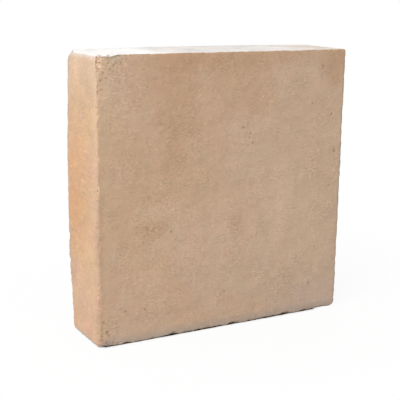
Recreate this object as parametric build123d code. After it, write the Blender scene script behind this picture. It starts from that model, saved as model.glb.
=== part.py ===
from build123d import *

import os

# A square clay brick, moulded by hand and fired in one piece, standing on its lower edge.
# +X runs along that edge to the right, +Y from the front face to the back face and +Z up.
# The origin is the middle of the face that the brick stands on. Sizes are in millimetres.

# The slab
side = 200.0
thickness = 50.0

# The wet clay slumped outwards towards the back: how far each edge stands out there, half way along
left_swell = 1.8
top_swell = 0.8

# Rounds on the four corners of the square, seen from the front
top_left_round = 2.5
top_right_round = 2.5
bottom_right_round = 4.5
bottom_left_round = 2.8

# Worn arrises round the front face and the back face
front_arris = 1.2
back_arris = 1.5

# Spalled corners: the corner's side across, in depth and up, the spall's reach along the three edges
# that meet there, and its depth under its own rim
spalls = [
    ((-1, -1, 1), (20.0, 5.0, 2.4), 0.3),
    ((-1, -1, 1), (5.0, 2.4, 17.0), 0.3),
    ((-1, 1, 1), (4.0, 10.0, 6.5), 0.6),
    ((-1, 1, -1), (2.0, 4.5, 48.0), 0.3),
    ((-1, 1, -1), (4.5, 9.0, 8.0), 0.6),
    ((-1, -1, -1), (10.0, 3.5, 1.6), 0.4),
]

# Nicks in the arrises: the arris's side across, in depth and up, with 0 for the way that it runs, the
# place along it as a share of the side from its left or lower end, and the nick's length and depth
nicks = [
    ((0, -1, -1), 0.105, 6.0, 0.9),
    ((0, -1, -1), 0.21, 5.0, 1.1),
    ((0, -1, -1), 0.29, 10.0, 1.5),
    ((0, -1, -1), 0.425, 14.0, 1.1),
    ((0, -1, -1), 0.535, 9.0, 1.5),
    ((0, -1, -1), 0.77, 14.0, 1.1),
    ((0, -1, -1), 0.93, 24.0, 1.4),
    ((-1, -1, 0), 0.39, 6.0, 1.0),
    ((-1, -1, 0), 0.56, 8.0, 1.2),
    ((1, -1, 0), 0.715, 3.5, 1.2),
    ((-1, 1, 0), 0.06, 5.0, 0.9),
    ((-1, 1, 0), 0.35, 7.0, 1.6),
    ((-1, 1, 0), 0.54, 5.0, 1.0),
]

left = -side / 2
right = side / 2
front = -thickness / 2
back = thickness / 2


def outline_side(start, end, swell):
    """One side of a face's outline, bowed outwards by swell half way along."""
    if swell == 0:
        return Line(start, end)
    outwards = (end - start).normalized().cross(Vector(0, -1, 0))
    return ThreePointArc(start, (start + end) / 2 + outwards * swell, end)


def face_outline(y, top_bow, left_bow):
    """The square at depth y, with its top and left sides bowed."""
    starts = [Vector(left, y, 0), Vector(right, y, 0), Vector(right, y, side), Vector(left, y, side)]
    ends = starts[1:] + starts[:1]
    bows = [0, 0, top_bow, left_bow]
    return make_face([outline_side(a, b, bow) for a, b, bow in zip(starts, ends, bows)])


def round_corners(slab):
    """Rounds the four short edges that run from the front face to the back face."""
    rounds = {
        (left, side): top_left_round,
        (right, side): top_right_round,
        (right, 0): bottom_right_round,
        (left, 0): bottom_left_round,
    }
    for (x, z), radius in rounds.items():
        short_edge = slab.edges().sort_by_distance(Vector(x, 0, z))[0]
        slab = fillet(short_edge, radius)
    return slab


def wear_arrises(slab):
    """Rounds the arrises all the way round the front face and the back face."""
    slab = fillet(slab.faces().sort_by(Axis.Y)[0].edges(), front_arris)
    return fillet(slab.faces().sort_by(Axis.Y)[-1].edges(), back_arris)


def corner_spall(place, reaches, hollow):
    """A ball that takes off a corner and leaves a shallow hollow.

    The rim crosses the corner's three edges at the given reaches, so it lies on the circle through
    those points. The ball's centre stands outside the brick on the axis of that circle.
    """
    across, inwards, up = place
    corner = Vector(across * right, inwards * back, side if up > 0 else 0)
    a = corner - Vector(across * reaches[0], 0, 0)
    b = corner - Vector(0, inwards * reaches[1], 0)
    c = corner - Vector(0, 0, up * reaches[2])
    ab = b - a
    ac = c - a
    normal = ab.cross(ac)
    to_middle = normal.cross(ab) * ac.dot(ac) + ac.cross(normal) * ab.dot(ab)
    to_middle = to_middle / (2 * normal.dot(normal))
    outwards = normal.normalized()
    if outwards.dot(corner - a) < 0:
        outwards = -outwards
    ball_radius = (to_middle.dot(to_middle) + hollow**2) / (2 * hollow)
    return Pos(a + to_middle + outwards * (ball_radius - hollow)) * Sphere(ball_radius)


def arris_point(sides, share):
    """The point at a share of an arris's run, on the outline before its arrises are worn."""
    across, inwards, up = sides
    bow = 1 - (2 * share - 1) ** 2 if inwards > 0 else 0
    if across == 0:
        return Vector(left + share * side, inwards * back, side + top_swell * bow if up > 0 else 0)
    return Vector(left - left_swell * bow if across < 0 else right, inwards * back, share * side)


def arris_nick(sides, share, length, depth):
    """A ball that scoops a nick of this length and depth out of an arris, on its outward diagonal."""
    ball_radius = ((length / 2) ** 2 + depth**2) / (2 * depth)
    outwards = Vector(*sides).normalized()
    return Pos(arris_point(sides, share) + outwards * (ball_radius - depth)) * Sphere(ball_radius)


def damage():
    """Every spall and nick, as balls to cut away."""
    return [corner_spall(*spall) for spall in spalls] + [arris_nick(*nick) for nick in nicks]


front_outline = face_outline(front, 0, 0)
back_outline = face_outline(back, top_swell, left_swell)
slab = loft([front_outline, back_outline], ruled=True)
clay_brick = wear_arrises(round_corners(slab)) - damage()

os.makedirs("parts", exist_ok=True)
export_step(clay_brick, "parts/clay_brick.step")
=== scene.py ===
import math
from itertools import product

import bpy
import numpy as np
from mathutils import Matrix, Vector


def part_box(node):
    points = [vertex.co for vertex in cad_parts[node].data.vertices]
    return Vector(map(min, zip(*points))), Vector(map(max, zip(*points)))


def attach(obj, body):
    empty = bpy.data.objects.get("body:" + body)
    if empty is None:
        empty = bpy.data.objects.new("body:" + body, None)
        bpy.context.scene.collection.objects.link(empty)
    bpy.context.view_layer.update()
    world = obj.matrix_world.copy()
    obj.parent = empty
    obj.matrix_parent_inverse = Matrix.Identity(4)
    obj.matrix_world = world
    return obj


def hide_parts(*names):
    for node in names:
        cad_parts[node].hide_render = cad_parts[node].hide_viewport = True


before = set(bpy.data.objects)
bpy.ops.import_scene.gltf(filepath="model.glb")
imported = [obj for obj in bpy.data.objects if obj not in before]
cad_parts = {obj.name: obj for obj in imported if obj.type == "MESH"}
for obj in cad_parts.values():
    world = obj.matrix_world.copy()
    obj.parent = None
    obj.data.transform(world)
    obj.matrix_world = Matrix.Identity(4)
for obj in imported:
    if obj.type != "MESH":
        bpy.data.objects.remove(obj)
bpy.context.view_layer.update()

# Lengths in this script are millimetres, in the frame of the brick, and become metres in the meshes.
MM = 0.001

# The brick's size, read from the frame: it is square, and its left and top edges swell towards the back
low, high = [np.array(corner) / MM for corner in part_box("clay_brick")]
half = high[0]
side = 2 * half
half_thick = high[1]
left_swell = -low[0] - half
top_swell = high[2] - side
slab_middle = np.array([0.0, 0.0, half])
slab_reach = np.array([half, half_thick, half])

# Rounds on the corners of the square, by side: left or right, then bottom or top
corner_rounds = {(-1, -1): 1.4, (-1, 1): 2.5, (1, -1): 4.5, (1, 1): 2.5}

# Rounds of the arrises round the front and the back face, how much they come and go, and their limits
front_arris = 0.85
back_arris = 1.4
arris_change = 0.5
arris_limits = (0.4, 3.0)

# What wear adds to the rounds of three front arrises; on the left one it starts at a height and grows down
left_wear = 1.6
left_wear_height = 150.0
right_wear = 0.3
foot_wear = 0.2

# Spalled corners: the corner's side across, in depth and up, the spall's reach along the three edges that
# meet there, and its depth under its own rim
spalls = [
    ((-1, -1, 1), (20.0, 5.0, 1.6), 0.3),
    ((-1, -1, 1), (5.0, 2.4, 17.0), 0.3),
    ((-1, 1, 1), (4.0, 10.0, 6.5), 0.6),
    ((-1, 1, -1), (2.0, 4.5, 48.0), 0.3),
    ((-1, 1, -1), (3.5, 7.0, 6.0), 0.5),
    ((-1, -1, -1), (8.0, 3.0, 1.0), 0.3),
]

# Nicks that stand out: the arris's side across, in depth and up, with 0 for the way that it runs, the place
# along it from its left or lower end, and the nick's length and depth
placed_nicks = [
    ((0, -1, -1), 21.0, 6.0, 0.9),
    ((0, -1, -1), 42.0, 5.0, 1.1),
    ((0, -1, -1), 58.0, 10.0, 1.5),
    ((0, -1, -1), 85.0, 14.0, 1.1),
    ((0, -1, -1), 107.0, 9.0, 1.5),
    ((0, -1, -1), 154.0, 14.0, 1.1),
    ((0, -1, -1), 186.0, 24.0, 1.4),
    ((-1, -1, 0), 78.0, 6.0, 1.0),
    ((-1, -1, 0), 112.0, 8.0, 1.2),
    ((1, -1, 0), 143.0, 3.5, 1.2),
    ((-1, 1, 0), 12.0, 5.0, 0.9),
    ((-1, 1, 0), 69.0, 8.5, 2.4),
    ((-1, 1, 0), 108.0, 5.0, 1.0),
]

# Seeded nicks on every arris: how many on a long one and on a short one, the stretch of the arris that
# takes them, and their ranges of length and of depth, to which each millimetre of length adds
nicks_on_long = 30
nicks_on_short = 8
nick_stretch = (0.02, 0.98)
nick_lengths = (1.6, 4.6)
nick_depths = (0.45, 0.6)
nick_depth_by_length = 0.12

# The two arrises that stayed sharper, by their sides, and the share of a seeded nick's depth that they show
sharp_arrises = [(0, -1, 1), (1, -1, 0)]
sharp_nick_share = 0.55

# How uneven the broken surfaces of spalls and nicks are
spall_roughness = 0.6
nick_roughness = 0.25

# The lower front edge's lift off the floor: its usual height, how much it comes and goes, and what the
# right end gains
foot_lift = 0.25
foot_lift_change = 0.6
foot_lift_to_right = 0.2

# Crumbled corners: the corner's side across, in depth and up, its reach along the three edges, and its
# share of the crumbs
crumbled_corners = [
    ((-1, -1, 1), (22.0, 6.0, 20.0), 0.75),
    ((-1, -1, -1), (14.0, 5.0, 22.0), 0.8),
]

# Pits on the front face that stand out: across from the left edge, up from the lower edge, radius, depth
front_pits = [
    (189.0, 152.0, 1.2, 0.6),
    (193.0, 125.0, 1.4, 0.6),
    (180.0, 187.0, 1.6, 0.4),
    (112.0, 147.0, 1.1, 0.4),
    (118.0, 142.0, 1.1, 0.4),
    (58.0, 162.0, 1.3, 0.4),
    (99.0, 28.0, 1.5, 0.3),
    (176.0, 23.0, 1.9, 0.3),
    (35.0, 23.0, 1.1, 0.4),
    (20.0, 24.0, 1.1, 0.4),
]

# Seeded pits on all faces: how many, and their ranges of radius and depth
pit_count = 160
pit_radii = (0.9, 1.8)
pit_depths = (0.1, 0.3)

# Heights of the moulded relief: slow waves, sand, and drag marks on the edge faces and on the square ones
wave_height = 0.1
sand_height = 0.11
edge_drag_height = 0.07
face_drag_height = 0.04

# Mesh spacing at the arrises and in the middle of a face, and the distance over which it widens
pitch_at_arris = 0.42
pitch_in_middle = 1.25
pitch_reach = 5.0

# The photograph's camera: its place, its heading to the right, tilt down and roll in degrees, and its lens
camera_place = (-338.0, -585.2, 244.5)
camera_angles = (29.39, 12.9, 0.88)
camera_lens = 84.6
sensor_width = 36.0

# The floor's reach, and two rectangles on it by their left, right, front and back: where a dark shadow is
# painted under the foot, and where it is paler along the left edge
floor_reach = 3000.0
painted_shadow_foot = (5.5 - half, half - 20.0, 1.2 - half_thick, half_thick - 1.2)
pale_foot = (1.4 - half, 0.0, 2.0 - half_thick, half_thick - 8.0)


def clay_tone(red, green, blue):
    """A colour as it is seen on the brick, from 0 to 255 in each channel, as linear light with alpha."""
    seen = np.array([red, green, blue]) / 255
    linear = np.where(seen <= 0.04045, seen / 12.92, ((seen + 0.055) / 1.055) ** 2.4)
    return (*linear, 1.0)


def spaced(length):
    """Positions from 0 to length, close together at both ends.

    The spacing falls off from the middle to the ends by an exponential of the distance from the
    nearer end. One over the spacing, added up along the length, numbers the positions.
    """
    fine = np.linspace(0, length, 4001)
    from_end = np.minimum(fine, length - fine)
    pitch = pitch_in_middle + (pitch_at_arris - pitch_in_middle) * np.exp(-from_end / pitch_reach)
    number = np.concatenate([[0], np.cumsum(np.diff(fine) / pitch[1:])])
    return np.interp(np.linspace(0, number[-1], round(number[-1]) + 1), number, fine)


def plain_slab():
    """Points and quads of the slab before it is worn: a closed box, one grid of quads to a face.

    A point is numbered by its three grid indices, so faces that meet share the points of their edge.
    """
    grids = [spaced(side) - half, spaced(2 * half_thick) - half_thick, spaced(side)]
    counts = [len(grid) for grid in grids]
    quads = []
    for axis, end in product(range(3), (0, 1)):
        u, v = [other for other in range(3) if other != axis]
        index = np.zeros((3, counts[u], counts[v]), int)
        index[u], index[v] = np.meshgrid(np.arange(counts[u]), np.arange(counts[v]), indexing="ij")
        index[axis] = end * (counts[axis] - 1)
        number = np.ravel_multi_index(index, counts)
        quad = np.stack([number[:-1, :-1], number[1:, :-1], number[1:, 1:], number[:-1, 1:]], axis=-1)
        outwards = (end == 1) != (axis == 1)
        quads.append(quad.reshape(-1, 4) if outwards else quad.reshape(-1, 4)[:, ::-1])
    used, quads = np.unique(np.concatenate(quads), return_inverse=True)
    index = np.unravel_index(used, counts)
    points = np.stack([grid[i] for grid, i in zip(grids, index)], axis=-1)
    return points, quads.reshape(-1, 4)


def cloud(points, cell, seed):
    """Smooth noise from -1 to 1: seeded random values on a cubic grid, blended between its corners."""
    grid = np.random.default_rng(seed).uniform(-1, 1, (32, 32, 32))
    place = points / cell
    corner = np.floor(place).astype(int)
    part = place - corner
    part = part * part * (3 - 2 * part)
    total = np.zeros(len(points))
    for step in product((0, 1), repeat=3):
        weight = np.where(step, part, 1 - part).prod(axis=1)
        total += weight * grid[tuple(((corner + step) % 32).T)]
    return total


def layered_cloud(points, cell, seed, layers):
    """Noise with finer detail: each further layer has half the cell and half the height."""
    return sum(cloud(points, cell / 2**n, seed + n) / 2**n for n in range(layers))


def squared_to_round(a, b):
    """The factor that turns a square into a quarter disc about its corner.

    A point keeps its direction from that corner, and its distance becomes its larger offset.
    """
    away = np.hypot(a, b)
    return np.where(away > 0, np.maximum(a, b) / np.maximum(away, 1e-9), 1.0)


def arris_round(points):
    """Round of the arris near each point: its usual round and its wear, coming and going along it."""
    x, y, z = points.T
    near_left, near_right, near_foot = [np.exp(-((d / 6.0) ** 2)) for d in (half + x, half - x, z)]
    wear = left_wear * near_left * np.clip(1 - z / left_wear_height, 0, 1)
    wear = wear + right_wear * near_right + foot_wear * near_foot
    usual = np.where(y < 0, front_arris + wear, back_arris)
    return np.clip(usual * (1 + arris_change * layered_cloud(points, 14.0, 11, 3)), *arris_limits)


def worn_slab(points):
    """Rounds the slab's four corners, seen from the front, and then its front and back arrises.

    A corner is rounded inside the square that its radius spans. For the arrises, the square is spanned
    by the distance in from the outline and the distance in from the face.
    """
    x, y, z = points[:, 0], points[:, 1], points[:, 2] - half
    sign_x, sign_y, sign_z = [np.where(c < 0, -1, 1) for c in (x, y, z)]
    corner = np.select(
        [(sign_x == sx) & (sign_z == sz) for sx, sz in corner_rounds],
        list(corner_rounds.values()),
    )
    a = np.maximum(abs(x) - (half - corner), 0)
    b = np.maximum(abs(z) - (half - corner), 0)
    rounder = squared_to_round(a, b)
    x = sign_x * (np.minimum(abs(x), half - corner) + a * rounder)
    z = sign_z * (np.minimum(abs(z), half - corner) + b * rounder)
    a, b = a * rounder, b * rounder
    away = np.hypot(a, b)
    on_corner = (a > 0) & (b > 0)
    from_outline = np.where(on_corner, corner - away, half - np.maximum(abs(x), abs(z)))
    nearer_x = abs(x) > abs(z)
    out_x = np.where(on_corner, a / np.maximum(away, 1e-9), nearer_x) * sign_x
    out_z = np.where(on_corner, b / np.maximum(away, 1e-9), ~nearer_x) * sign_z
    arris = arris_round(points)
    a = np.maximum(arris - from_outline, 0)
    b = np.maximum(arris - (half_thick - abs(y)), 0)
    kept = 1 - squared_to_round(a, b)
    x = x - out_x * a * kept
    z = z - out_z * a * kept
    y = y - sign_y * b * kept
    return np.stack([x, y, z + half], axis=-1)


def swollen(points):
    """Bows the left and the top edge outwards, from nothing at the front to the full swell at the back."""
    x, y, z = points.T
    to_back = (y + half_thick) / (2 * half_thick)
    left = left_swell * to_back * (1 - (z / half - 1) ** 2) * (half - x) / side
    top = top_swell * to_back * (1 - (x / half) ** 2) * z / side
    return np.stack([x - left, y, z + top], axis=-1)


def break_away(points, centre, radius, roughness, seed):
    """Breaks off the clay inside a ball: points in it move out to its rough surface."""
    near = np.flatnonzero(np.linalg.norm(points - centre, axis=1) < radius + 2 * roughness)
    offset = points[near] - centre
    distance = np.linalg.norm(offset, axis=1)
    rough = radius + roughness * layered_cloud(points[near], 3.2, seed, 3)
    moved = points.copy()
    moved[near] = centre + offset * np.maximum(rough / distance, 1.0)[:, None]
    return moved


def spalled(points):
    """Breaks the spalled corners off, each by a ball through the three ends of its reaches.

    The ball's centre stands on the axis of the circle through those ends, so far outside that the ball
    dips under their plane by the spall's hollow.
    """
    for number, (place, reaches, hollow) in enumerate(spalls):
        corner = np.array([place[0] * half, place[1] * half_thick, half + place[2] * half])
        ends = corner - np.diag(np.multiply(place, reaches))
        ab, ac = ends[1] - ends[0], ends[2] - ends[0]
        normal = np.cross(ab, ac)
        to_middle = np.cross(normal, ab) * (ac @ ac) + np.cross(ac, normal) * (ab @ ab)
        to_middle = to_middle / (2 * normal @ normal)
        outwards = normal / np.linalg.norm(normal)
        outwards = outwards * np.sign(outwards @ (corner - ends[0]))
        radius = (to_middle @ to_middle + hollow**2) / (2 * hollow)
        centre = ends[0] + to_middle + outwards * (radius - hollow)
        points = break_away(points, centre, radius, spall_roughness, 70 + 5 * number)
    return points


def scoop(points, sides, along, length, depth, seed):
    """Scoops a nick of this length and depth out of an arris, by a ball on the arris's outward diagonal."""
    outwards = np.array(sides, float)
    from_left_foot = np.where(outwards == 0, along, (1 + outwards) * slab_reach)
    arris = swollen(from_left_foot[None] - (half, half_thick, 0))[0]
    radius = ((length / 2) ** 2 + depth**2) / (2 * depth)
    centre = arris + outwards / np.linalg.norm(outwards) * (radius - depth)
    return break_away(points, centre, radius, nick_roughness, seed)


def nicked(points):
    """Nicks the arrises: first the nicks that stand out, then seeded ones on all twelve arrises."""
    for number, (sides, along, length, depth) in enumerate(placed_nicks):
        points = scoop(points, sides, along, length, depth, 200 + 5 * number)
    rng = np.random.default_rng(5)
    for axis, signs in product(range(3), product((-1, 1), repeat=2)):
        sides = np.insert(signs, axis, 0)
        run = 2 * slab_reach[axis]
        for _ in range(nicks_on_short if axis == 1 else nicks_on_long):
            along = rng.uniform(*nick_stretch) * run
            length = rng.uniform(*nick_lengths)
            depth = rng.uniform(*nick_depths) + nick_depth_by_length * length
            if tuple(sides) in sharp_arrises:
                depth = sharp_nick_share * depth
            points = scoop(points, sides, along, length, depth, int(rng.integers(1000)))
    return points


def lifted_foot(points):
    """Wears the lower front edge off the floor by an uneven amount, which fades up the face and inwards."""
    x, y, z = points.T
    uneven = cloud(points * (1, 0, 0), 9.0, 44) + 0.7 * cloud(points * (1, 0, 0), 3.5, 45)
    height = np.clip(foot_lift + foot_lift_change * uneven + foot_lift_to_right * x / half, 0.0, None)
    height = height * np.clip((half - abs(x)) / 16.0, 0, 1)
    fade = np.exp(-((y + half_thick) / 5.0) ** 2 - (z / 2.5) ** 2)
    return np.stack([x, y, z + height * fade], axis=-1)


def distance_to_arris(points):
    """How far each point of the plain slab is from the nearest arris, along its own face."""
    from_faces = slab_reach - abs(points - slab_middle)
    return np.sort(from_faces, axis=1)[:, 1]


def crumb_depth(points, from_arris):
    """Depth of the crumbs lost along the arrises: patches of fine noise, deepest on the arris itself.

    The crumbled corners have lost most, and next to them the left front arris.
    """
    at_corner = np.zeros(len(points))
    for sides, reach, share in crumbled_corners:
        offset = (points - slab_middle - sides * slab_reach) / reach
        at_corner += share * np.exp(-((offset**2).sum(axis=1)))
    left_front = np.exp(-np.hypot(points[:, 0] + half, points[:, 1] + half_thick) / 3.0)
    left_front = left_front * np.clip(1.2 - points[:, 2] / 120.0, 0.4, 1)
    patches = np.clip(layered_cloud(points, 3.2, 81, 3) + 0.1, 0, None)
    depth = 0.55 + 0.9 * at_corner + 0.6 * left_front
    reach = 1.3 + 2.8 * at_corner + 0.5 * left_front
    return depth * patches * np.exp(-((from_arris / reach) ** 2))


def outward_normals(points, quads):
    """Unit normals of the points: the sum of the area normals of the quads that meet there."""
    a, b, c, d = [points[quads[:, n]] for n in range(4)]
    area = np.cross(c - a, d - b)
    total = np.stack(
        [np.bincount(quads.ravel(), np.repeat(area[:, n], 4), len(points)) for n in range(3)], axis=-1
    )
    return total / np.linalg.norm(total, axis=1, keepdims=True)


def dent(points, centre, radius, depth):
    """The depth of a round dent: full at its centre, and fading to nothing at its radius."""
    share = np.linalg.norm(points - centre, axis=1) / radius
    return depth * np.clip(1 - share**2, 0, None) ** 1.5


def pit_depth(points):
    """Depth of all pits: the ones placed on the front face, and seeded ones at points of the mesh."""
    depth = np.zeros(len(points))
    for across, up, radius, deep in front_pits:
        depth = np.maximum(depth, dent(points, (across - half, -half_thick, up), radius, deep))
    rng = np.random.default_rng(21)
    for number in rng.choice(len(points), pit_count, replace=False):
        pit = dent(points, points[number], rng.uniform(*pit_radii), rng.uniform(*pit_depths))
        depth = np.maximum(depth, pit)
    return depth


def relief_depth(points, normals):
    """Depth of the moulded surface under the plain one: slow waves, sand and drag marks.

    Drag marks run across the thickness on the four edge faces, and from side to side on the square ones.
    """
    on_edge_face = 1 - normals[:, 1] ** 2
    waves = wave_height * (1 + cloud(points, 38.0, 31))
    sand = sand_height * (1 + layered_cloud(points, 3.6, 41, 2) / 1.5)
    edge_drag = cloud(points * (1, 0.22, 1.25), 2.8, 51)
    face_drag = cloud(points * (0.35, 1, 1), 2.6, 61)
    drag = on_edge_face * edge_drag_height * (1 + edge_drag)
    drag = drag + (1 - on_edge_face) * face_drag_height * (1 + face_drag)
    return waves + sand + drag


def add_piece(name, points, quads, values):
    """A smooth-shaded mesh object from points in millimetres, with named values on its points."""
    mesh = bpy.data.meshes.new(name)
    mesh.from_pydata(points * MM, [], quads)
    mesh.shade_smooth()
    for value_name, value in values.items():
        attribute = mesh.attributes.new(value_name, "FLOAT", "POINT")
        attribute.data.foreach_set("value", value.astype(np.float32))
    piece = bpy.data.objects.new(name, mesh)
    bpy.context.scene.collection.objects.link(piece)
    return piece


class Socket:
    """A node's output. An operator on it adds the Math node that works the expression out."""

    def __init__(self, tree, output):
        self.tree = tree
        self.output = output

    def add(self, kind, settings, inputs, result=0):
        """Adds a node of a kind, its settings first and then its inputs, and gives one of its outputs."""
        node = self.tree.nodes.new(kind)
        for name, value in settings.items():
            setattr(node, name, value)
        for name, value in inputs.items():
            if isinstance(value, Socket):
                self.tree.links.new(value.output, node.inputs[name])
            else:
                node.inputs[name].default_value = value
        return Socket(self.tree, node.outputs[result]) if node.outputs else None

    def math(self, operation, *values):
        """A Math node on these values."""
        return self.add("ShaderNodeMath", {"operation": operation}, dict(enumerate(values)))

    def __add__(self, other):
        return self.math("ADD", self, other)

    def __sub__(self, other):
        return self.math("SUBTRACT", self, other)

    def __mul__(self, other):
        return self.math("MULTIPLY", self, other)

    def __truediv__(self, other):
        return self.math("DIVIDE", self, other)

    def __rsub__(self, other):
        return self.math("SUBTRACT", other, self)

    __radd__ = __add__
    __rmul__ = __mul__

    def vector(self, operation, *values):
        """A Vector Math node: a vector, or for lengths, distances and dot products a value."""
        result = "Value" if operation in ("LENGTH", "DISTANCE", "DOT_PRODUCT") else "Vector"
        return self.add("ShaderNodeVectorMath", {"operation": operation}, dict(enumerate(values)), result)

    def between(self, start, end):
        """0 below start, 1 above end and a smooth step between; start may be the larger one."""
        settings = {"interpolation_type": "SMOOTHSTEP"}
        return self.add("ShaderNodeMapRange", settings, {0: self, 1: start, 2: end, 3: 0.0, 4: 1.0})

    def tinted(self, colour, amount):
        """This colour, blended towards another one."""
        return self.add("ShaderNodeMix", {"data_type": "RGBA"}, {0: amount, 6: self, 7: colour}, 2)

    def shaded(self, brightness):
        """This colour, made brighter or darker by a value."""
        inputs = {"Vector": self, "Scale": brightness}
        return self.add("ShaderNodeVectorMath", {"operation": "SCALE"}, inputs)

    def stretched(self, x, y, z):
        """These coordinates, multiplied along each axis."""
        return self.vector("MULTIPLY", self, (x, y, z))

    def noise(self, size, detail=2.0, roughness=0.5, seed=0.0):
        """Noise at these coordinates, from 0 to 1, with features of about this size in millimetres."""
        inputs = {
            "Vector": self,
            "W": seed,
            "Scale": 1 / (size * MM),
            "Detail": detail,
            "Roughness": roughness,
        }
        return self.add("ShaderNodeTexNoise", {"noise_dimensions": "4D"}, inputs)

    def grains(self, spacing, share, radius):
        """Round grains, 1 inside: one in each cell of this spacing, kept in a share of the cells."""
        cell = {"Vector": self, "Scale": 1 / (spacing * MM)}
        distance = self.add("ShaderNodeTexVoronoi", {}, cell, "Distance")
        colour = self.add("ShaderNodeTexVoronoi", {}, cell, "Color")
        chance = self.add("ShaderNodeSeparateColor", {}, {0: colour})
        kept = chance.math("LESS_THAN", chance, share)
        return kept * distance.between(radius / spacing, 0.4 * radius / spacing)

    def mixed(self, share, other):
        """This shader, mixed with a share of another one."""
        return self.add("ShaderNodeMixShader", {}, {0: share, 1: self, 2: other})


def new_material(name):
    """An empty material with its output, and a socket of the object's coordinates to build on."""
    material = bpy.data.materials.new(name)
    material.use_nodes = True
    tree = material.node_tree
    tree.nodes.clear()
    return material, Socket(tree, None).add("ShaderNodeTexCoord", {}, {}, "Object")


def finish_surface(shader):
    """Links a shader to a new material output."""
    shader.add("ShaderNodeOutputMaterial", {}, {"Surface": shader})


# Tones of the fired clay
tan = clay_tone(198, 166, 134)
cool_buff = clay_tone(195, 167, 141)
cool_grey = clay_tone(186, 162, 144)
warm_brown = clay_tone(184, 148, 115)
red_clay = clay_tone(182, 142, 109)
pink_clay = clay_tone(199, 160, 134)
flashed_tan = clay_tone(202, 164, 127)
flashed_pink = clay_tone(205, 161, 132)
flashed_yellow = clay_tone(200, 166, 123)
flashed_orange = clay_tone(201, 150, 103)
# Pale dust on the front and the edge faces; the same tone is also painted light towards and on the top
pale_dust_and_light = clay_tone(212, 182, 153)
pink_dust = clay_tone(209, 174, 143)
# Painted light: near white tones for the glare on the top and the highest edge faces
painted_top_light = clay_tone(222, 216, 211)
painted_white_light = clay_tone(240, 237, 233)
# Painted shade: the next three greys stand for shade at the foot and along the back rim
foot_shade_grey = clay_tone(170, 153, 139)
edge_foot_shade = clay_tone(164, 157, 141)
back_rim_shade = clay_tone(178, 165, 151)
edge_grey = clay_tone(172, 160, 138)
foot_pink = clay_tone(168, 142, 130)
low_pink = clay_tone(197, 172, 153)
# Painted shade: the next tone, and in part the one after it, stand for shade on arrises
arris_shade = clay_tone(146, 122, 103)
crust_and_shade = clay_tone(182, 149, 119)
brown_tick = clay_tone(148, 114, 86)
# Dark grains; the same tone is also painted shade in the pits
dark_grain_and_pit_shade = clay_tone(118, 90, 68)
lime_grain = clay_tone(230, 210, 188)

# Tints of the front face: tone, strength, and soft ovals, each by its middle from the left and the lower
# edge, its half width and its half height
front_tints = [
    (cool_buff, 0.5, [(172.0, 92.0, 62.0, 112.0)]),
    (cool_grey, 0.25, [(185.0, 8.0, 70.0, 36.0), (199.0, 60.0, 7.0, 70.0)]),
    (red_clay, 0.6, [(58.0, 168.0, 20.0, 58.0)]),
    (warm_brown, 0.65, [(112.0, 203.0, 100.0, 19.0), (195.0, 190.0, 18.0, 22.0)]),
    (warm_brown, 0.45, [(100.0, 174.0, 44.0, 32.0), (41.0, 79.0, 16.0, 8.0)]),
    (warm_brown, 0.25, [(107.0, 76.0, 8.0, 8.0), (22.0, 120.0, 30.0, 60.0), (6.0, 40.0, 9.0, 44.0)]),
    (warm_brown, 0.4, [(33.0, 180.0, 13.0, 26.0)]),
    (pale_dust_and_light, 0.3, [(143.0, 92.0, 15.0, 42.0), (34.0, 44.0, 16.0, 9.0)]),
    (pale_dust_and_light, 0.15, [(6.0, 170.0, 5.0, 34.0), (178.0, 80.0, 48.0, 85.0)]),
    (red_clay, 0.35, [(60.0, 195.0, 46.0, 10.0)]),
    (warm_brown, 0.2, [(60.0, 130.0, 50.0, 38.0)]),
    (pale_dust_and_light, 0.12, [(98.0, 76.0, 70.0, 38.0)]),
    (pale_dust_and_light, 0.25, [(46.0, 93.0, 22.0, 8.0)]),
    (edge_grey, 0.6, [(11.0, 198.5, 8.0, 5.0)]),
    (foot_pink, 0.6, [(6.0, 2.0, 8.0, 4.5)]),
    (low_pink, 0.6, [(178.0, 10.0, 34.0, 18.0)]),
]

# Rough and merely sandy spots of the front face, as such ovals
rough_spots = [
    (41.0, 79.0, 17.0, 8.0),
    (107.0, 76.0, 8.0, 9.0),
    (170.0, 112.0, 10.0, 10.0),
    (174.0, 23.0, 5.0, 4.0),
    (12.0, 190.0, 14.0, 14.0),
    (7.0, 12.0, 9.0, 14.0),
]
sandy_spots = [
    (116.0, 142.0, 8.0, 8.0),
    (100.0, 187.0, 10.0, 6.0),
    (124.0, 189.0, 10.0, 6.0),
    (150.0, 34.0, 30.0, 18.0),
    (60.0, 130.0, 22.0, 30.0),
    (46.0, 91.0, 20.0, 9.0),
]

# Specks that stand out on the front face: across from the left edge, up from the lower edge, and radius
dark_specks = [
    (193.0, 124.0, 1.3),
    (189.0, 152.0, 1.2),
    (179.0, 188.0, 1.2),
    (118.0, 142.0, 1.0),
    (112.0, 146.5, 1.0),
    (120.0, 135.0, 0.9),
    (117.0, 139.0, 0.7),
    (55.0, 77.0, 1.0),
    (6.0, 11.0, 1.2),
    (174.0, 22.5, 1.0),
    (99.0, 27.0, 1.0),
    (36.0, 178.0, 0.8),
    (189.0, 98.0, 0.9),
    (171.0, 161.0, 0.9),
    (35.0, 23.0, 0.9),
    (20.0, 24.0, 0.9),
    (178.0, 51.0, 0.9),
]

# Brown ticks on its two crumbled left corners, in the same form
brown_ticks = [
    (3.4, 18.8, 1.6),
    (1.9, 14.1, 1.2),
    (6.4, 11.8, 1.4),
    (7.5, 8.6, 1.4),
    (5.6, 10.1, 1.2),
    (1.9, 5.9, 1.3),
    (5.3, 3.9, 1.4),
    (10.5, 3.0, 1.4),
    (14.0, 2.1, 1.3),
    (12.0, 193.0, 1.2),
    (8.0, 194.5, 1.2),
    (17.0, 194.0, 1.2),
    (2.2, 192.0, 1.3),
    (4.4, 188.5, 1.5),
    (2.6, 183.5, 1.4),
    (6.4, 185.0, 1.2),
    (9.5, 190.0, 1.2),
    (3.4, 177.5, 1.2),
]

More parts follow.
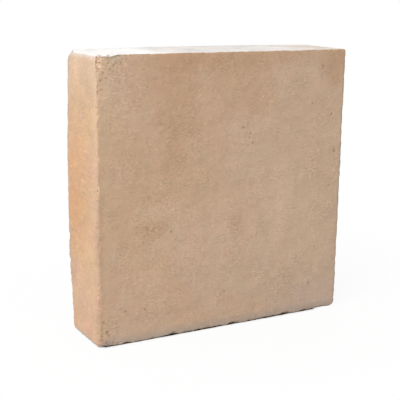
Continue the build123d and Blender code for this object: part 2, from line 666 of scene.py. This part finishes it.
# Pale specks of lime, in the same form
pale_specks = [
    (163.0, 178.0, 0.9),
    (32.0, 45.0, 1.2),
    (27.0, 43.0, 0.9),
    (46.0, 43.0, 0.9),
    (62.0, 66.0, 0.9),
    (88.0, 77.0, 1.0),
    (172.0, 106.0, 1.1),
    (128.0, 168.0, 0.9),
]


def fired_clay():
    """Unglazed fired clay: mottled tan, flashed orange on its edge faces, painted light on top, sandy and
    matt.
    """
    material, place = new_material("fired_clay")
    x, y, z = [place.add("ShaderNodeSeparateXYZ", {}, {0: place}, axis) / MM for axis in range(3)]

    def value(name):
        """A value that the mesh carries on its points."""
        return place.add("ShaderNodeAttribute", {"attribute_name": name}, {}, "Fac")

    wander, drift = [1.5 * (place.noise(22.0, 4.0, 0.65, seed) - 0.5) for seed in (1.0, 2.0)]

    def oval(across, up, half_width, half_height):
        """A soft oval with a wandering rim: 1 in its middle, fading to 0 at its rim."""
        dx = (x - (across - half)) / half_width + wander
        dz = (z - up) / half_height + drift
        return (dx * dx + dz * dz).between(1.2, 0.0)

    def speck(across, up, radius):
        """A round speck on the front face, 1 in its middle."""
        middle = ((across - half) * MM, -half_thick * MM, up * MM)
        return (place.vector("DISTANCE", place, middle) / MM).between(radius, 0.4 * radius)

    def joined(mark, shapes):
        """Several marks of one kind, added up."""
        first, *others = [mark(*shape) for shape in shapes]
        return sum(others, first)

    edge_face = value("edge_face")
    front = (1 - edge_face) * y.between(0.0, -0.6 * half_thick)
    facing_up = value("facing_up")
    arris = value("arris")
    broken = value("broken")

    mottle = place.noise(60.0, 3.0, 0.5)
    patch = place.noise(17.0, 2.0, 0.55, 7.0)
    fleck = place.stretched(1, 1, 0.8).noise(6.0, 1.0, 0.5, 8.0)
    blotch = place.noise(13.0, 3.0, 0.6)
    hue = place.stretched(1, 1, 1.2).noise(9.0, 2.0, 0.6)
    lumps = place.stretched(0.5, 0.5, 1).noise(3.4, 2.0, 0.6)
    sand = place.stretched(0.54, 0.54, 1).noise(1.35, 3.0, 0.75)
    coarse = 0.35 + 1.15 * place.noise(10.0, 2.0, 0.5, 3.0).between(0.36, 0.66)
    coarse = coarse + front * (1.3 * joined(oval, rough_spots) + 0.5 * joined(oval, sandy_spots))

    # The square faces, and the front one's own tints
    warmth = mottle.between(0.3, 0.7)
    colour = place.add("ShaderNodeMix", {"data_type": "RGBA"}, {0: warmth, 6: tan, 7: cool_buff}, 2)
    colour = colour.tinted(pink_clay, hue.between(0.45, 0.75) * 0.5)
    colour = colour.tinted(pink_clay, patch.between(0.5, 0.68) * 0.35)
    colour = colour.tinted(cool_buff, patch.between(0.5, 0.32) * 0.35)
    for tone, strength, shapes in front_tints:
        colour = colour.tinted(tone, front * joined(oval, shapes) * strength)
    # Painted shade: the front greyer and darker towards the floor, for the shade near it
    colour = colour.tinted(foot_shade_grey, front * z.between(9.0, 1.5) * (0.45 + 0.6 * blotch))

    # The four edge faces, flashed by the fire, with painted light towards the top and painted shade along
    # the foot
    colour = colour.tinted(flashed_tan, edge_face)
    colour = colour.tinted(flashed_pink, edge_face * patch.between(0.5, 0.68) * 0.9)
    colour = colour.tinted(flashed_yellow, edge_face * patch.between(0.5, 0.32) * 0.9)
    colour = colour.tinted(flashed_pink, edge_face * z.between(0.32 * side, 0.2 * side) * 0.5)
    colour = colour.tinted(flashed_pink, edge_face * fleck.between(0.5, 0.7) * 0.6)
    colour = colour.tinted(flashed_yellow, edge_face * fleck.between(0.5, 0.3) * 0.6)
    flashed = edge_face * z.between(0.85 * side, 0.6 * side) * z.between(0.2 * side, 0.45 * side)
    flashed = flashed * y.between(-0.9 * half_thick, 0.4 * half_thick) * blotch.between(0.25, 0.55)
    colour = colour.tinted(flashed_orange, flashed * 0.9)
    banded = edge_face * y.between(-0.55 * half_thick, -half_thick) * z.between(0.2 * side, 0.5 * side)
    colour = colour.tinted(pink_dust, banded * hue.between(0.25, 0.5) * 0.7)
    # Painted light: paler towards the top of the edge faces and on the top, for the light falling there
    colour = colour.tinted(pale_dust_and_light, edge_face * z.between(0.8 * side, 0.97 * side) * 0.5)
    colour = colour.tinted(painted_top_light, edge_face * z.between(side - 5.5, side - 0.5) * (0.2 + 0.8 * hue))
    # Painted shade: the edge faces greyer along the foot, where the floor's contact shade falls
    colour = colour.tinted(edge_foot_shade, edge_face * z.between(3.5, 0.5) * (0.55 + 0.6 * blotch))
    colour = colour.tinted(pale_dust_and_light, edge_face * lumps.between(0.58, 0.72) * 0.5)

    # Painted light on the top: painted near white, less where the clay is broken
    top_light_share = facing_up * (1 - 0.6 * broken)
    colour = colour.tinted(painted_top_light, top_light_share * blotch.between(0.05, 0.5) * 0.9)
    colour = colour.tinted(painted_white_light, top_light_share * x.between(-42.0, -58.0) * 0.95)
    colour = colour.tinted(pale_dust_and_light, top_light_share * x.between(0.5 * half, 0.9 * half) * 0.45)

    # The arrises, with painted shade on some of them, the broken clay and the grains
    ticks = place.stretched(0.5, 0.5, 1).noise(4.5, 6.0, 0.8, 5.0)
    # Browner crumbled clay along the left front arris, with painted shade that damps the light on it
    left_front = x.between(-half + 6.0, -half + 1.0) * y.between(-half_thick + 6.5, -half_thick + 0.5)
    left_front = left_front * (0.12 + 0.88 * z.between(0.7 * side, 0.4 * side))
    colour = colour.tinted(crust_and_shade, left_front * ticks.between(0.25, 0.6) * 0.75)
    # Painted shade on the right front arris, which turns away from the light
    right_front = arris * x.between(half - 3.5, half - 1.2) * y.between(0.0, -half_thick)
    colour = colour.tinted(arris_shade, right_front * (0.25 + 0.75 * ticks.between(0.35, 0.6)) * 0.65)
    # Painted shade along the back of the edge faces and on the back arris, which turn away from the light
    colour = colour.tinted(back_rim_shade, edge_face * y.between(half_thick - 6.0, half_thick - 0.5) * 0.6)
    colour = colour.tinted(arris_shade, arris * y.between(half_thick - 2.5, half_thick - 0.8) * 0.4)
    colour = colour.tinted(dark_grain_and_pit_shade, broken * sand.between(0.52, 0.38) * 0.7)
    colour = colour.tinted(lime_grain, broken * sand.between(0.52, 0.64) * 0.4)
    # Painted shade in the pits
    colour = colour.tinted(dark_grain_and_pit_shade, value("pitted") * 0.3)
    colour = colour.tinted(dark_grain_and_pit_shade, joined(speck, dark_specks) * 0.6)
    colour = colour.tinted(brown_tick, joined(speck, brown_ticks) * 0.45)
    colour = colour.tinted(lime_grain, joined(speck, pale_specks) * 0.4)
    colour = colour.tinted(dark_grain_and_pit_shade, place.grains(2.8, 0.12, 0.5) * 0.25)
    colour = colour.tinted(lime_grain, place.grains(4.0, 0.10, 0.6) * 0.4)

    # The brightness of sand and clouds, and the relief of sand, lumps and pores
    speckled = 0.72 * coarse * (sand - 0.5) + 0.19 * (lumps - 0.5)
    clouded = 0.25 * (blotch - 0.5) + 0.16 * (mottle - 0.5)
    colour = colour.shaded(1.0 + speckled + clouded * (1.0 + 0.9 * edge_face))

    pores = place.grains(2.0, 0.2, 0.5)
    height = coarse * sand + 0.6 * lumps - 0.4 * pores
    bump = place.add("ShaderNodeBump", {}, {"Strength": 1.0, "Distance": 0.27 * MM, "Height": height})
    finish = {
        "Base Color": colour,
        "Roughness": 0.84 + 0.12 * sand,
        "Normal": bump,
        "Specular IOR Level": 0.25,
        "Sheen Weight": 0.2,
        "Sheen Roughness": 0.6,
    }
    finish_surface(place.add("ShaderNodeBsdfPrincipled", {}, finish))
    return material


def clay_body():
    """The brick: a plain slab, worn, swollen, spalled and nicked, with its relief pressed in.

    The relief only takes clay away, so the finished points are drawn out again to the brick's full size.
    """
    plain, quads = plain_slab()
    from_arris = distance_to_arris(plain)
    worn = swollen(worn_slab(plain))
    broken = lifted_foot(nicked(spalled(worn)))
    normals = outward_normals(broken, quads)
    pits = pit_depth(broken)
    crumbs = crumb_depth(broken, from_arris)
    points = broken - normals * (relief_depth(broken, normals) + pits + crumbs)[:, None]
    points = low + (points - points.min(axis=0)) * (high - low) / np.ptp(points, axis=0)
    lost = np.linalg.norm(broken - worn, axis=1) + crumbs
    values = {
        "edge_face": np.clip((1 - normals[:, 1] ** 2) * 1.6 - 0.3, 0, 1),
        "facing_up": np.clip(normals[:, 2] * 1.6 - 0.5, 0, 1),
        "pitted": np.clip(pits / 0.5, 0, 1),
        "arris": np.exp(-((from_arris / 1.8) ** 2)),
        "broken": np.clip(lost / 0.8 - 0.2, 0, 1),
    }
    piece = add_piece("fired_clay_body", points, quads, values)
    piece.data.materials.append(fired_clay())
    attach(piece, "root")
    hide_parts("clay_brick")


def seen_directly(socket):
    """1 for rays from the camera, and for what mirrors and glass would show of the same."""
    rays = ("Is Camera Ray", "Is Glossy Ray", "Is Transmission Ray")
    camera, glossy, through = [socket.add("ShaderNodeLightPath", {}, {}, ray) for ray in rays]
    return camera.math("MAXIMUM", camera.math("MAXIMUM", camera, glossy), through)


def studio_floor():
    """A wide white floor, which takes the brick's shadow.

    Where it is seen directly, a dark shadow is painted under the brick's foot; it is paler along the foot's
    left edge, and lifted towards plain white with the distance from it.
    """
    corners = floor_reach * np.array([(-1, -1, 0), (1, -1, 0), (1, 1, 0), (-1, 1, 0)])
    floor = add_piece("studio_floor", corners, np.array([[0, 1, 2, 3]]), {})
    material, place = new_material("white_floor")

    def outside(left, right, front, back):
        """How far a place on the floor is outside a rectangle, in millimetres."""
        offset = place.vector("SUBTRACT", place, ((left + right) / 2 * MM, (front + back) / 2 * MM, 0))
        offset = place.vector("ABSOLUTE", offset)
        offset = place.vector("SUBTRACT", offset, ((right - left) / 2 * MM, (back - front) / 2 * MM, 0))
        return place.vector("LENGTH", place.vector("MAXIMUM", offset, (0, 0, 0))) / MM

    def matt(red, green, blue):
        """A matt shader of one colour."""
        return place.add("ShaderNodeBsdfDiffuse", {}, {"Color": (red, green, blue, 1)})

    away = outside(*painted_shadow_foot) + 2.0 * (place.noise(9.0, 2.0, 0.6) - 0.5)
    left_of_foot = outside(*pale_foot)
    white = place.add("ShaderNodeEmission", {}, {"Color": (1, 1, 1, 1), "Strength": 1.0})
    # Painted shadow: near-black matt under the foot where it is seen directly, turning pale within a
    # millimetre
    near = matt(0.05, 0.04, 0.03).mixed(away.between(0.0, 1.0), matt(0.9, 0.9, 0.9))
    share = 0.9 * away.between(0.2, 3.5) + 0.1 * away.between(6.0, 300.0)
    lifted = near.mixed(share * (0.35 + 0.65 * left_of_foot.between(0.0, 1.2)), white)
    finish_surface(matt(0.55, 0.55, 0.55).mixed(seen_directly(place), lifted))
    floor.data.materials.append(material)


def studio_world(brightest_from, strongest, weakest):
    """White all round where it is seen. Elsewhere a soft light, strongest from one direction."""
    world = bpy.data.worlds.new("studio")
    world.use_nodes = True
    tree = world.node_tree
    tree.nodes.clear()
    direction = Socket(tree, None).add("ShaderNodeTexCoord", {}, {}, "Generated")
    towards = Vector(brightest_from).normalized()
    facing = direction.vector("DOT_PRODUCT", direction, towards)

    def sky(strength):
        """White light of one strength."""
        return direction.add("ShaderNodeBackground", {}, {"Color": (1, 1, 1, 1), "Strength": strength})

    light = sky(weakest).mixed(facing.between(-0.8, 0.9), sky(strongest))
    seen = light.mixed(seen_directly(direction), sky(1.0))
    seen.add("ShaderNodeOutputWorld", {}, {"Surface": seen})
    bpy.context.scene.world = world


def soft_lamp(name, place, size, level):
    """A square lamp aimed at the brick's middle. Level is what it adds to a white surface that faces it."""
    aim = Vector((0, 0, half))
    place = Vector(place)
    distance = (aim - place).length * MM
    lamp = bpy.data.lights.new(name, "AREA")
    lamp.size = size * MM
    lamp.energy = level * math.pi**2 * distance**2
    holder = bpy.data.objects.new(name, lamp)
    holder.location = place * MM
    holder.rotation_euler = (aim - place).to_track_quat("-Z", "Y").to_euler()
    bpy.context.scene.collection.objects.link(holder)


def photo_camera():
    """The photograph's camera, turned by its roll, tilted down from level and turned to its heading."""
    place = Vector(camera_place) * MM
    heading, tilt, roll = [math.radians(angle) for angle in camera_angles]
    camera = bpy.data.cameras.new("photo_camera")
    camera.sensor_width = sensor_width
    camera.lens = camera_lens
    holder = bpy.data.objects.new("photo_camera", camera)
    turn = Matrix.Rotation(-heading, 4, "Z") @ Matrix.Rotation(math.pi / 2 - tilt, 4, "X")
    holder.matrix_world = Matrix.Translation(place) @ turn @ Matrix.Rotation(roll, 4, "Z")
    bpy.context.scene.collection.objects.link(holder)
    bpy.context.scene.camera = holder


clay_body()
studio_floor()
studio_world(brightest_from=(-0.5, -0.75, 0.4), strongest=0.68, weakest=0.4)
soft_lamp("key_lamp", place=(-900.0, -520.0, 800.0), size=800.0, level=0.8)
soft_lamp("back_lamp", place=(900.0, 1100.0, 450.0), size=1000.0, level=0.3)
photo_camera()
bpy.context.scene.view_settings.view_transform = "Standard"
